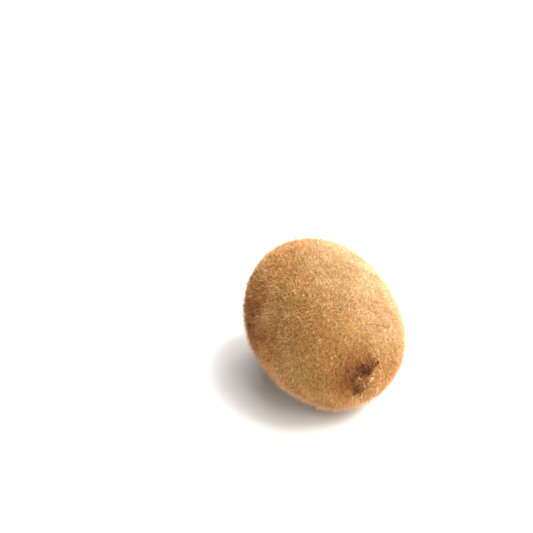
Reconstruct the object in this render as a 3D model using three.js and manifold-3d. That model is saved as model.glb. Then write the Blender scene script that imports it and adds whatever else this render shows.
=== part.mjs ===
// A whole kiwi fruit lying on its side: the hairy brown berry, the corky scar where its stalk
// broke off, the dried sepals round that scar and the dried styles at the blossom end.
// Millimetres, +Z up. The long axis runs along X, with the blossom end at +X. The origin is the
// middle of the part's footprint, on the surface that the fruit rests on.
import * as THREE from 'three';
import { mergeVertices } from 'three/addons/utils/BufferGeometryUtils.js';
import Module from 'manifold-3d';

// Berry. A bluntness of 2 is an ellipse, and a higher one is a fuller end.
const HALF_LENGTH = 34.2;
const HALF_WIDTH = 24;
const BLOSSOM_BLUNTNESS = 2.39;
const STEM_BLUNTNESS = 2.08;
const WAIST_WAVE = 0.006; // share of the radius by which the section departs from round
const WAIST_LOBES = 3;
const WAIST_TURN = 0.7;
const SKIN_DETAIL = 14; // cuts along each edge of the icosahedron that carries the skin
const REST_DEPTH = 0.35; // how far the weight of the fruit flattens its underside

// Swellings and hollows of the berry: height, the turn about X (0 is up, towards +Y) and the place
// along the half length where each is highest, with their spreads.
const KEEL = { height: 1.2, turn: 3.44, turnSpread: 0.2, place: 0.73, placeSpread: 0.28 };
const CHEEK = { height: -1.2, turn: 3.56, turnSpread: 0.5, place: 0.62, placeSpread: 0.35 };

// Stem end: a shallow hollow that holds the scar.
const STEM_HOLLOW_DEPTH = 1.4;
const STEM_HOLLOW_RADIUS = 5;

// Blossom end: a low ridge under the tuft of styles, tilted off the vertical.
const RIDGE_HEIGHT = 0.9;
const RIDGE_LENGTH = 8;
const RIDGE_WIDTH = 4;
const RIDGE_TILT = THREE.MathUtils.degToRad(21);
const RIDGE_CENTRE = new THREE.Vector2(1.2, 0.4); // off the long axis, towards +Y and up

const CLEARANCE = 0.35; // between the berry and what sits on it

// Stem scar: a cupped disc with a ragged lip, and a small pit where the stalk's core pulled out.
const SCAR_RADIUS = 5;
// Ripples of its edge, in shares of the radius.
const SCAR_WAVES = [{ height: 0.05, lobes: 3, phase: 1 }, { height: 0.04, lobes: 7, phase: 0 }];
const SCAR_FOOT = 0.8; // radius of its underside, as a share of the lip's
const SCAR_FLOOR = 0.7; // thickness at the pit's edge
const SCAR_LIP = 1.1; // how far the lip stands above the floor
const SCAR_FIBRE = 0.12;
const SCAR_FIBRES = 13;
const SCAR_PIT_DEPTH = 0.4;
const SCAR_PIT = new THREE.Vector2(0.9, 0.6);
const SCAR_RINGS = 6;
const SCAR_SIDES = 40;

// Sepals: crumbled dry flakes that grow from a crusty collar round the scar.
const SEPAL_COUNT = 8;
const SEPAL_SEED = 5;
const SEPAL_STRAY = 0.3; // share of the step between two blades by which each is out of place
const COLLAR_INNER = 5.9;
const COLLAR_OUTER = 7.5;
const COLLAR_HEIGHT = 1.1;
const COLLAR_WAVES = [{ height: 0.25, lobes: 5, phase: 0.4 }, { height: 0.2, lobes: 11, phase: 0 }];
const COLLAR_CREST = 0.6; // share of the outer edge's waves that its top follows
const COLLAR_SIDES = 48;
const SEPAL_ROOT = 6.5;
const SEPAL_SINK = 0.15; // how far above the collar's underside a blade starts
const SEPAL_LENGTH = [0.6, 2.8];
const SEPAL_WIDTH = [3.8, 6.6];
const SEPAL_RISE = [0.2, 1.5];
const SEPAL_THICKNESS = 0.7;
const SEPAL_WAVE = 0.3;
const SEPAL_WAVES_ALONG = 4;
const SEPAL_WAVES_ACROSS = 3;
const SEPAL_NARROWING = 0.35; // share of the width that is lost at the end
const SEPAL_NARROWING_POWER = 2.2;
const SEPAL_CORNER = 0.4; // share of the length that is lost at its sides
const SEPAL_CORNER_POWER = 2.5;
const SEPAL_CUP = 0.3; // how far a blade's edges stand above its middle
const SEPAL_RAGGED = 0.24; // share of the length by which its end is torn
const SEPAL_TEARS = 5;
const SEPAL_STEPS = 6;
const SEPAL_STRIPS = 8;

// Styles: a fan of dried threads, each with a swollen tip, that grow from a withered crust.
const STYLE_COUNT = 28;
const STYLE_SEED = 12;
const STYLE_ROOTS_ALONG = 0.8; // shares of the crust's half sizes in which the threads stand
const STYLE_ROOTS_ACROSS = 0.7;
const STYLE_FAN = 0.8; // share of the reach by which a thread leans away from the middle
const STYLE_STRAY_ALONG = 0.3; // shares of the reach by which it leans at random
const STYLE_STRAY_ACROSS = 0.5;
const STYLE_KNEE = { reach: 0.35, rise: 0.8 }; // where a thread bends over, as shares of its reach and rise
const STYLE_SINK = 0.45; // how far above the crust's underside a thread starts
const STYLE_THICKNESS = 0.8;
const STYLE_REACH = [1.6, 3.8];
const STYLE_RISE = [0.3, 1.5];
const STYLE_STEPS = 4;
const STYLE_SIDES = 3;
const STYLE_TIP_RADIUS = 0.6;
const CRUST_HALF_LENGTH = 6.2;
const CRUST_HALF_WIDTH = 2.6;
const CRUST_THICKNESS = 0.9;
const CRUST_EDGE_DROP = 0.25;
// Ripples of its edge, in shares of its half sizes.
const CRUST_WAVES = [{ height: 0.1, lobes: 4, phase: 0.5 }, { height: 0.07, lobes: 9, phase: 0 }];
const CRUST_RINGS = 4;
const CRUST_SIDES = 36;

const wasm = await Module();
wasm.setup();

// Random draws between two values, the same on every run.
function seededDraw(seed) {
  let state = seed;
  return (low, high) => {
    state = (state * 1664525 + 1013904223) % 4294967296;
    return low + (high - low) * (state / 4294967296);
  };
}

function bell(offset, spread) {
  return Math.exp(-0.5 * (offset / spread) ** 2);
}

// Sum of the waves that make an edge ragged, at a turn about the middle of that edge.
function ripple(waves, turn) {
  return waves.reduce((sum, { height, lobes, phase }) => sum + height * Math.sin(lobes * turn + phase), 0);
}

// Lift of the end's own relief at a place across the end: the hollow of the stem or the ridge.
function endRelief(side, y, z) {
  if (side < 0) return -STEM_HOLLOW_DEPTH * Math.exp(-((y * y + z * z) / STEM_HOLLOW_RADIUS ** 2));
  const [offY, offZ] = [y - RIDGE_CENTRE.x, z - RIDGE_CENTRE.y];
  const along = offY * Math.sin(RIDGE_TILT) + offZ * Math.cos(RIDGE_TILT);
  const across = offY * Math.cos(RIDGE_TILT) - offZ * Math.sin(RIDGE_TILT);
  return RIDGE_HEIGHT * Math.exp(-((along / RIDGE_LENGTH) ** 2) - (across / RIDGE_WIDTH) ** 2);
}

function swelling({ height, turn, turnSpread, place, placeSpread }, atTurn, atPlace) {
  const turned = Math.atan2(Math.sin(atTurn - turn), Math.cos(atTurn - turn));
  return height * bell(turned, turnSpread) * bell(atPlace - place, placeSpread);
}

// The point of the skin that lies in a direction seen from the middle of the berry.
function skinPoint(direction) {
  const side = Math.sign(direction.x) || 1;
  const bluntness = side > 0 ? BLOSSOM_BLUNTNESS : STEM_BLUNTNESS;
  const spread = Math.hypot(direction.y, direction.z);
  const turn = Math.atan2(direction.y, direction.z);
  const place = side * Math.abs(direction.x) ** (2 / bluntness);
  const round = spread ** (2 / bluntness);
  const wave = 1 + WAIST_WAVE * Math.cos(WAIST_LOBES * turn + WAIST_TURN);
  const swell = swelling(KEEL, turn, place) + swelling(CHEEK, turn, place);
  const radius = HALF_WIDTH * round * wave + swell * Math.sqrt(round);
  const y = radius * Math.sin(turn);
  const z = radius * Math.cos(turn);
  return new THREE.Vector3(HALF_LENGTH * place + side * endRelief(side, y, z), y, z);
}

// Distance of the skin from the middle plane, at a place across the stem end (-1) or blossom end (1).
function endHeight(side, y, z) {
  const bluntness = side > 0 ? BLOSSOM_BLUNTNESS : STEM_BLUNTNESS;
  const share = Math.hypot(y, z) / HALF_WIDTH;
  return HALF_LENGTH * (1 - share ** bluntness) ** (1 / bluntness) + endRelief(side, y, z);
}

// A point that stands a given lift off the skin at one end of the berry.
function above(side, y, z, lift) {
  const step = 0.01;
  const slopeY = (endHeight(side, y + step, z) - endHeight(side, y - step, z)) / (2 * step);
  const slopeZ = (endHeight(side, y, z + step) - endHeight(side, y, z - step)) / (2 * step);
  const normal = new THREE.Vector3(side, -slopeY, -slopeZ).normalize();
  return new THREE.Vector3(side * endHeight(side, y, z), y, z).addScaledVector(normal, lift);
}

function solidOf(geometry) {
  const bare = geometry.clone();
  bare.deleteAttribute('normal');
  bare.deleteAttribute('uv');
  const merged = mergeVertices(bare, 1e-4);
  return new wasm.Manifold(new wasm.Mesh({
    numProp: 3,
    vertProperties: new Float32Array(merged.attributes.position.array),
    triVerts: new Uint32Array(merged.index.array),
  }));
}

function geometryOf(solid) {
  const mesh = solid.getMesh();
  const geometry = new THREE.BufferGeometry();
  geometry.setAttribute('position', new THREE.BufferAttribute(new Float32Array(mesh.vertProperties), 3));
  geometry.setIndex(new THREE.BufferAttribute(new Uint32Array(mesh.triVerts), 1));
  geometry.computeVertexNormals();
  return geometry;
}

// The largest shell of a fused bunch, with the hollows that fusing sealed inside it filled.
function outerShell(bunch) {
  return bunch.decompose().reduce((most, shell) => (shell.volume() > most.volume() ? shell : most));
}

// A closed skin over rows of points. Each row is a closed ring, and the first and last rows are
// capped by their middle points. Rings run so that the faces point out.
function ringSolid(rows, firstTip, lastTip) {
  const sides = rows[0].length;
  const points = [firstTip, ...rows.flat(), lastTip];
  const at = (row, side) => 1 + row * sides + (side % sides);
  const last = points.length - 1;
  const faces = [];
  for (let s = 0; s < sides; s++) {
    faces.push(0, at(0, s + 1), at(0, s));
    for (let r = 0; r + 1 < rows.length; r++) {
      faces.push(at(r, s), at(r, s + 1), at(r + 1, s));
      faces.push(at(r, s + 1), at(r + 1, s + 1), at(r + 1, s));
    }
    faces.push(last, at(rows.length - 1, s), at(rows.length - 1, s + 1));
  }
  return closedGeometry(points, faces);
}

function closedGeometry(points, faces) {
  const geometry = new THREE.BufferGeometry().setFromPoints(points);
  geometry.setIndex(faces);
  geometry.computeVertexNormals();
  return geometry;
}

function berry() {
  const ball = new THREE.IcosahedronGeometry(1, SKIN_DETAIL);
  ball.deleteAttribute('normal');
  ball.deleteAttribute('uv');
  const skin = mergeVertices(ball, 1e-4);
  const place = skin.attributes.position;
  for (let i = 0; i < place.count; i++) {
    const point = skinPoint(new THREE.Vector3().fromBufferAttribute(place, i).normalize());
    place.setXYZ(i, point.x, point.y, point.z);
  }
  skin.computeBoundingBox();
  const floor = skin.boundingBox.min.z + REST_DEPTH;
  const ground = new THREE.BoxGeometry(4 * HALF_LENGTH, 4 * HALF_WIDTH, HALF_WIDTH);
  ground.translate(0, 0, floor - HALF_WIDTH / 2);
  return geometryOf(solidOf(skin).subtract(solidOf(ground)));
}

// The disc's points run from its pit out to the lip on top, and back to the middle underneath.
function stemScar() {
  const lip = (turn) => SCAR_RADIUS * (1 + ripple(SCAR_WAVES, turn));
  const across = (share, turn, reach) => {
    const out = new THREE.Vector2(Math.sin(turn), Math.cos(turn)).multiplyScalar(lip(turn) * reach);
    return SCAR_PIT.clone().lerp(out, share);
  };
  const topRow = (share, turn) => {
    const fibre = SCAR_FIBRE * share * Math.sin(SCAR_FIBRES * turn);
    const { x: y, y: z } = across(share, turn, 1);
    return above(-1, y, z, CLEARANCE + SCAR_FLOOR + SCAR_LIP * share ** 3 + fibre);
  };
  const underRow = (share, turn) => {
    const { x: y, y: z } = across(share, turn, SCAR_FOOT);
    return above(-1, y, z, CLEARANCE);
  };
  const rows = [];
  const shares = Array.from({ length: SCAR_RINGS }, (_, i) => (i + 1) / SCAR_RINGS);
  const turns = Array.from({ length: SCAR_SIDES }, (_, i) => (-2 * Math.PI * i) / SCAR_SIDES);
  for (const share of shares) rows.push(turns.map((turn) => topRow(share, turn)));
  for (const share of shares.toReversed()) rows.push(turns.map((turn) => underRow(share, turn)));
  const pit = above(-1, SCAR_PIT.x, SCAR_PIT.y, CLEARANCE + SCAR_FLOOR - SCAR_PIT_DEPTH);
  const foot = above(-1, SCAR_PIT.x, SCAR_PIT.y, CLEARANCE);
  return ringSolid(rows, pit, foot);
}

// A blade that lies along the stem end from its root outwards. It narrows to a torn end, its edges
// wave, and it lifts off the skin towards its end.
function sepalBlade({ turn, length, width, rise, phase }) {
  const under = [];
  const over = [];
  for (let i = 0; i <= SEPAL_STEPS; i++) {
    const along = i / SEPAL_STEPS;
    const halfWidth = (width / 2) * (1 - SEPAL_NARROWING * along ** SEPAL_NARROWING_POWER);
    for (let j = 0; j <= SEPAL_STRIPS; j++) {
      const side = (2 * j) / SEPAL_STRIPS - 1;
      const corner = SEPAL_CORNER * Math.abs(side) ** SEPAL_CORNER_POWER;
      const torn = SEPAL_RAGGED * Math.sin(SEPAL_TEARS * side + phase);
      const radius = SEPAL_ROOT + length * along * (1 - corner + torn);
      const angle = turn + (side * halfWidth) / radius;
      const waved = SEPAL_WAVES_ALONG * along + SEPAL_WAVES_ACROSS * side + phase;
      const wave = SEPAL_WAVE * along * (1 + Math.sin(waved));
      const curl = rise * along ** 2 + SEPAL_CUP * along * side ** 2;
      const lift = CLEARANCE + SEPAL_SINK + wave + curl;
      const [y, z] = [radius * Math.sin(angle), radius * Math.cos(angle)];
      under.push(above(-1, y, z, lift));
      over.push(above(-1, y, z, lift + SEPAL_THICKNESS));
    }
  }
  return slab(under, over, SEPAL_STEPS + 1, SEPAL_STRIPS + 1);
}

// A closed plate between two like grids of points, split alike on both faces.
function slab(under, over, rows, columns) {
  const points = [...under, ...over];
  const half = under.length;
  const faces = [];
  const quad = (a, b, c, d) => faces.push(a, b, c, a, c, d);
  for (let r = 0; r + 1 < rows; r++) {
    for (let c = 0; c + 1 < columns; c++) {
      const [a, b] = [r * columns + c, r * columns + c + 1];
      const [d, e] = [a + columns, b + columns];
      faces.push(a, b, e, a, e, d);
      faces.push(half + a, half + e, half + b, half + a, half + d, half + e);
    }
  }
  const edge = [];
  for (let c = 0; c < columns; c++) edge.push(c);
  for (let r = 1; r < rows; r++) edge.push(r * columns + columns - 1);
  for (let c = columns - 2; c >= 0; c--) edge.push((rows - 1) * columns + c);
  for (let r = rows - 2; r > 0; r--) edge.push(r * columns);
  edge.forEach((from, i) => {
    const to = edge[(i + 1) % edge.length];
    quad(to, from, half + from, half + to);
  });
  return closedGeometry(points, faces);
}

function collar() {
  const rings = [];
  for (let i = 0; i < COLLAR_SIDES; i++) {
    const turn = (2 * Math.PI * i) / COLLAR_SIDES;
    const ragged = ripple(COLLAR_WAVES, turn);
    const [inner, outer] = [COLLAR_INNER, COLLAR_OUTER + ragged];
    const top = CLEARANCE + COLLAR_HEIGHT + COLLAR_CREST * ragged;
    const corner = (radius, lift) => above(-1, radius * Math.sin(turn), radius * Math.cos(turn), lift);
    rings.push([corner(inner, CLEARANCE), corner(outer, CLEARANCE), corner(outer, top), corner(inner, top)]);
  }
  const points = rings.flat();
  const faces = [];
  for (let i = 0; i < COLLAR_SIDES; i++) {
    const next = (i + 1) % COLLAR_SIDES;
    for (let k = 0; k < 4; k++) {
      const [a, b] = [4 * i + k, 4 * i + ((k + 1) % 4)];
      const [c, d] = [4 * next + k, 4 * next + ((k + 1) % 4)];
      faces.push(a, d, b, a, c, d);
    }
  }
  return closedGeometry(points, faces);
}

function sepals() {
  const draw = seededDraw(SEPAL_SEED);
  let bunch = solidOf(collar());
  for (let i = 0; i < SEPAL_COUNT; i++) {
    const blade = sepalBlade({
      turn: (2 * Math.PI * (i + draw(-SEPAL_STRAY, SEPAL_STRAY))) / SEPAL_COUNT,
      length: draw(...SEPAL_LENGTH),
      width: draw(...SEPAL_WIDTH),
      rise: draw(...SEPAL_RISE),
      phase: draw(0, 2 * Math.PI),
    });
    bunch = bunch.add(solidOf(blade));
  }
  return geometryOf(outerShell(bunch));
}

// A place on the blossom end, from its distance along and across the tilted ridge.
function onRidge(along, across, lift) {
  const y = RIDGE_CENTRE.x + along * Math.sin(RIDGE_TILT) + across * Math.cos(RIDGE_TILT);
  const z = RIDGE_CENTRE.y + along * Math.cos(RIDGE_TILT) - across * Math.sin(RIDGE_TILT);
  return above(1, y, z, lift);
}

// The withered base of the flower, a thin crust with a ragged edge.
function crust() {
  const edge = (turn) => 1 + ripple(CRUST_WAVES, turn);
  const row = (share, turn, lift) => onRidge(
    CRUST_HALF_LENGTH * share * edge(turn) * Math.cos(turn),
    CRUST_HALF_WIDTH * share * edge(turn) * Math.sin(turn),
    lift,
  );
  const shares = Array.from({ length: CRUST_RINGS }, (_, i) => (i + 1) / CRUST_RINGS);
  const turns = Array.from({ length: CRUST_SIDES }, (_, i) => (2 * Math.PI * i) / CRUST_SIDES);
  const top = CLEARANCE + CRUST_THICKNESS;
  const rows = [];
  for (const share of shares) rows.push(turns.map((turn) => row(share, turn, top - CRUST_EDGE_DROP * share)));
  for (const share of shares.toReversed()) rows.push(turns.map((turn) => row(share, turn, CLEARANCE)));
  return ringSolid(rows, onRidge(0, 0, top), onRidge(0, 0, CLEARANCE));
}

function styleThread({ along, across, leanAlong, leanAcross, rise }) {
  const root = CLEARANCE + STYLE_SINK;
  const path = new THREE.CatmullRomCurve3([
    onRidge(along, across, root),
    onRidge(
      along + STYLE_KNEE.reach * leanAlong,
      across + STYLE_KNEE.reach * leanAcross,
      root + STYLE_KNEE.rise * rise,
    ),
    onRidge(along + leanAlong, across + leanAcross, root + rise),
  ]);
  const corner = new THREE.Vector2(STYLE_THICKNESS / 2, 0);
  const middle = new THREE.Vector2();
  const section = new THREE.Shape(Array.from({ length: STYLE_SIDES }, (_, i) => (
    corner.clone().rotateAround(middle, (2 * Math.PI * i) / STYLE_SIDES)
  )));
  const thread = new THREE.ExtrudeGeometry(section, { steps: STYLE_STEPS, extrudePath: path });
  const tip = new THREE.OctahedronGeometry(STYLE_TIP_RADIUS);
  const end = path.getPoint(1);
  tip.translate(end.x, end.y, end.z);
  return solidOf(thread).add(solidOf(tip));
}

function styles() {
  const draw = seededDraw(STYLE_SEED);
  let bunch = solidOf(crust());
  for (let i = 0; i < STYLE_COUNT; i++) {
    const place = (2 * (i + 0.5)) / STYLE_COUNT - 1;
    const reach = draw(...STYLE_REACH);
    bunch = bunch.add(styleThread({
      along: STYLE_ROOTS_ALONG * CRUST_HALF_LENGTH * place,
      across: STYLE_ROOTS_ACROSS * CRUST_HALF_WIDTH * Math.sqrt(1 - place * place) * draw(-1, 1),
      leanAlong: reach * (STYLE_FAN * place + draw(-STYLE_STRAY_ALONG, STYLE_STRAY_ALONG)),
      leanAcross: reach * draw(-STYLE_STRAY_ACROSS, STYLE_STRAY_ACROSS),
      rise: draw(...STYLE_RISE),
    }));
  }
  return geometryOf(outerShell(bunch));
}

function piece(name, geometry, color, roughness) {
  const mesh = new THREE.Mesh(geometry, new THREE.MeshStandardMaterial({ color, roughness, metalness: 0 }));
  mesh.name = name;
  return mesh;
}

const lying = new THREE.Group();
lying.add(
  piece('fruit', berry(), 0xb8843f, 0.85),
  piece('stem_scar', stemScar(), 0xb5895a, 0.8),
  piece('sepals', sepals(), 0x4a2e20, 0.9),
  piece('styles', styles(), 0x523427, 0.9),
);
const box = new THREE.Box3().setFromObject(lying);
const boxMiddle = box.getCenter(new THREE.Vector3());
lying.position.set(-boxMiddle.x, -boxMiddle.y, -box.min.z);

const kiwi = new THREE.Group();
kiwi.add(lying);

export default kiwi;
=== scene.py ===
"""A whole kiwi fruit: skin, coat of hairs, stem scar, sepals and styles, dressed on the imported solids."""

import math

import bmesh
import bpy
import numpy as np
from bpy.props import FloatProperty, FloatVectorProperty, IntProperty, PointerProperty
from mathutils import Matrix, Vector, noise
from mathutils.bvhtree import BVHTree


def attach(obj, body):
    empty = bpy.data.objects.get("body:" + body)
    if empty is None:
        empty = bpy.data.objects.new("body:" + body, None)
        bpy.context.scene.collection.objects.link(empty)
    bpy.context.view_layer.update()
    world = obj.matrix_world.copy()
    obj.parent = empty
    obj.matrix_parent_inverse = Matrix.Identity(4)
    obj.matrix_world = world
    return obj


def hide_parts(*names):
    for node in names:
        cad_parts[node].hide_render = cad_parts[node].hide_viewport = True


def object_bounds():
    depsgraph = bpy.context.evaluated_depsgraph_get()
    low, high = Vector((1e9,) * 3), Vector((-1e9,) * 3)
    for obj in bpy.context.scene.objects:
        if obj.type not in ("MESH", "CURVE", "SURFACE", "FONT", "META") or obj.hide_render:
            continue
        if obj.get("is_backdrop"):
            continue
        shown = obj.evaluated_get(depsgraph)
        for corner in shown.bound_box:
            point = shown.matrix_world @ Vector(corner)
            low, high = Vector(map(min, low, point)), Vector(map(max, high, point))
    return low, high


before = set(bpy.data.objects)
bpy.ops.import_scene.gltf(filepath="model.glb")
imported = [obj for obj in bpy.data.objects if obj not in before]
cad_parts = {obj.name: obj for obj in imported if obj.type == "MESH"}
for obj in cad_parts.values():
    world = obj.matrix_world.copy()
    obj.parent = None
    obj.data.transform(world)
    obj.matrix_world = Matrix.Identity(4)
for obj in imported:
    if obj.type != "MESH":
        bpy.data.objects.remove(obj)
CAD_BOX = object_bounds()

bl_info = {
    "name": "Kiwi Fruit",
    "version": (1, 0, 0),
    "blender": (4, 5, 0),
    "location": "View3D > Sidebar > Kiwi Fruit",
    "description": "Dresses the solids of a kiwi fruit with skin, hairs, dried sepals and dried styles",
    "category": "Object",
}

MM = 0.001
RIDGE_CENTRE = (1.2, 0.4)  # millimetres off the long axis, towards +Y and up
PHOTO_SIDE = 533
SENSOR_WIDTH = 36

# The kinds of nodes that are used most.
MATH = "ShaderNodeMath"
VECTOR = "ShaderNodeVectorMath"
NOISE = "ShaderNodeTexNoise"
RAMP = "ShaderNodeValToRGB"
MIX = "ShaderNodeMix"
RANGE = "ShaderNodeMapRange"
RANDOM = "FunctionNodeRandomValue"
STORE = "GeometryNodeStoreNamedAttribute"
NAMED = "GeometryNodeInputNamedAttribute"

# The side facing the window, where a painted highlight makes the coat palest, and the side away from the
# lamps, where painted shade makes it darkest and reddest.
WINDOW_SIDE = Vector((0.24, 0.52, 0.82))
SHADED_SIDE = Vector((-0.3, -0.95, -0.12))

# The berry's own middle in the frame, from which both ends are measured.
MIDDLE = Vector((-0.789 * MM, -0.101 * MM, 23.375 * MM))


def linear(code):
    """An sRGB hex colour as a linear colour with full alpha."""
    shares = [int(code[i : i + 2], 16) / 255 for i in (0, 2, 4)]
    return tuple(c / 12.92 if c <= 0.04045 else ((c + 0.055) / 1.055) ** 2.4 for c in shares) + (1.0,)


def size(name, default, description):
    """A property that holds a length, given in millimetres."""
    return FloatProperty(name=name, description=description, default=default * MM, unit="LENGTH", precision=5)


def shade(name, code, description):
    """A property that holds a colour, given as an sRGB hex value."""
    return FloatVectorProperty(
        name=name, description=description, default=linear(code), size=4, min=0, max=1, subtype="COLOR"
    )


def slant(name, degrees, description):
    """A property that holds an angle, given in degrees."""
    return FloatProperty(name=name, description=description, default=math.radians(degrees), subtype="ANGLE")


def number(name, default, description):
    """A property that holds a plain number."""
    return FloatProperty(name=name, description=description, default=default)


class KiwiCoatSettings(bpy.types.PropertyGroup):
    """Sizes and colours of the skin and its hairs."""

    skin_brown: shade("Skin brown", "ba8444", "Main colour of the skin under the hairs")
    skin_olive: shade("Skin olive", "b0954c", "Green tint where the skin is thin")
    skin_rust: shade("Skin rust", "7a4220", "Skin round both ends")
    hair_dark: shade("Dark hair", "4a2a18", "Hairs close to the stem scar and the styles")
    hair_rust: shade("Rusty hair", "b5642a", "Hairs of the halo round each end")
    hair_gold: shade("Golden hair", "f0ac4e", "Most of the hairs")
    hair_straw: shade("Straw hair", "ffe4b9", "The palest hairs")
    short_length: size("Short hairs", 1.0, "Length of the hairs next to the skin")
    long_length: size("Long hairs", 1.6, "Length of the hairs over them")
    spike_length: size("Spikes", 2.2, "Length of the few hairs that stand out of the coat")
    short_layers: IntProperty(name="Layers of short hairs", description="Pieces of short hairs", default=4)
    long_layers: IntProperty(name="Layers of long hairs", description="Pieces of long hairs", default=1)
    short_density: number("Density of short hairs", 5.0, "Hairs per square millimetre and layer")
    long_density: number("Density of long hairs", 1.9, "Hairs per square millimetre and layer")
    spike_density: number("Density of spikes", 1.1, "Hairs per square millimetre")


class KiwiEndSettings(bpy.types.PropertyGroup):
    """Sizes and colours of what the flower and the stalk left at the two ends."""

    cork_tan: shade("Cork tan", "9c6c45", "Main colour of the stem scar")
    cork_pale: shade("Cork pale", "d8b287", "Raised fibres and the torn lip")
    cork_dark: shade("Cork dark", "34200f", "The pit and the gaps between fibres")
    sepal_dark: shade("Sepal dark", "2f1c12", "Main colour of the dried sepals")
    sepal_tan: shade("Sepal tan", "7a5134", "Worn edges and veins of the sepals")
    style_dark: shade("Style dark", "3a2116", "Main colour of the dried styles")
    style_brown: shade("Style brown", "7e4c2b", "Withered base of the flower")
    style_pale: shade("Style pale", "eabd84", "Bare edge of that base")
    ridge_tilt: slant("Tuft tilt", 21, "Lean of the tuft off the vertical")


class KiwiStageSettings(bpy.types.PropertyGroup):
    """Camera, floor and light."""

    azimuth: slant("Azimuth", 68.3, "Turn of the camera about the fruit")
    elevation: slant("Elevation", 32.8, "Height of the camera")
    distance: size("Distance", 641, "From the camera to the middle of the fruit")
    lens: number("Lens", 128.9, "Focal length on a 36 mm sensor")
    fruit_x: number("Across", 323.1, "Fruit's middle in the photograph, in pixels")
    fruit_y: number("Down", 319.9, "Fruit's middle in the photograph, in pixels")
    floor_white: shade("Floor", "f5f3f0", "Colour of the floor")
    floor_shade: shade("Floor shade", "f0eeea", "Faint clouds on the floor")


def add(tree, kind, inputs=None, stops=(), **settings):
    """Adds a node with its settings and the stops of its colour ramp, as places and colours.
    An input is a value, a socket, or a node whose first live output is linked."""
    made = tree.nodes.new(kind)
    for name, value in settings.items():
        setattr(made, name, value)
    for i, (place, colour) in enumerate(stops):
        elements = made.color_ramp.elements
        element = elements[i] if i < len(elements) else elements.new(place)
        element.position = place
        element.color = colour
    for key, value in (inputs or {}).items():
        target = next(s for s in made.inputs if s.identifier == key)
        if isinstance(value, bpy.types.Node):
            value = next(s for s in value.outputs if s.enabled)
        if isinstance(value, bpy.types.NodeSocket):
            tree.links.new(value, target)
        else:
            target.default_value = value
    return made


def new_material(name):
    """A material with an empty tree, and the tree."""
    material = bpy.data.materials.new(name)
    material.use_nodes = True
    material.node_tree.nodes.clear()
    return material, material.node_tree


def finish(tree, colour, roughness, ior=1.5, specular=0.5):
    """Ends a material's tree with a plain surface."""
    inputs = {"Base Color": colour, "Roughness": roughness, "IOR": ior, "Specular IOR Level": specular}
    surface = add(tree, "ShaderNodeBsdfPrincipled", inputs)
    add(tree, "ShaderNodeOutputMaterial", {"Surface": surface.outputs["BSDF"]})


def new_tree(name, inputs):
    """A tree of geometry nodes, with the sockets of its named inputs and its output's identifier."""
    tree = bpy.data.node_groups.new(name, "GeometryNodeTree")
    for label, kind in (("Geometry", "Geometry"), *inputs):
        tree.interface.new_socket(label, in_out="INPUT", socket_type=f"NodeSocket{kind}")
    result = tree.interface.new_socket("Geometry", in_out="OUTPUT", socket_type="NodeSocketGeometry")
    return tree, add(tree, "NodeGroupInput").outputs, result.identifier


def new_piece(name, data, material=None):
    """A new object in the scene that holds a mesh or other data."""
    piece = bpy.data.objects.new(name, data)
    bpy.context.scene.collection.objects.link(piece)
    if material:
        data.materials.clear()
        data.materials.append(material)
    return piece


def modified(data, kind, values=None, **settings):
    """The plain mesh that a modifier makes of a mesh or a curve, worked out on a spare object.
    The values are for the named inputs of its tree, and are set by identifier."""
    spare = new_piece("spare", data)
    modifier = spare.modifiers.new("Modifier", kind)
    for name, value in settings.items():
        setattr(modifier, name, value)
    for item in modifier.node_group.interface.items_tree if values else ():
        if item.in_out == "INPUT" and item.name in values:
            modifier[item.identifier] = values[item.name]
    bpy.context.view_layer.update()
    graph = bpy.context.evaluated_depsgraph_get()
    mesh = bpy.data.meshes.new_from_object(spare.evaluated_get(graph), depsgraph=graph)
    bpy.data.objects.remove(spare)
    return mesh


def settle(piece, slot, *nodes):
    """Hands a finished piece to the frame."""
    piece.data.shade_smooth()
    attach(piece, "root")
    if nodes:
        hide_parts(*nodes)


def smooth_step(low, high, value):
    """A soft step from 0 at the low value to 1 at the high one."""
    share = np.clip((value - low) / (high - low), 0, 1)
    return share * share * (3 - 2 * share)


def vertex_places(mesh):
    """The places of a mesh's points, one row each."""
    flat = np.empty(len(mesh.vertices) * 3, np.float32)
    mesh.vertices.foreach_get("co", flat)
    return flat.reshape(-1, 3)


def store(mesh, name, values):
    """Writes one number per vertex as a named attribute."""
    attribute = mesh.attributes.new(name, "FLOAT", "POINT")
    attribute.data.foreach_set("value", values.astype(np.float32))


def ridge_places(places, tilt):
    """Distances in millimetres along and across the tuft of styles."""
    y = (places[:, 1] - MIDDLE.y) / MM - RIDGE_CENTRE[0]
    z = (places[:, 2] - MIDDLE.z) / MM - RIDGE_CENTRE[1]
    return y * math.sin(tilt) + z * math.cos(tilt), y * math.cos(tilt) - z * math.sin(tilt)


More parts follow.
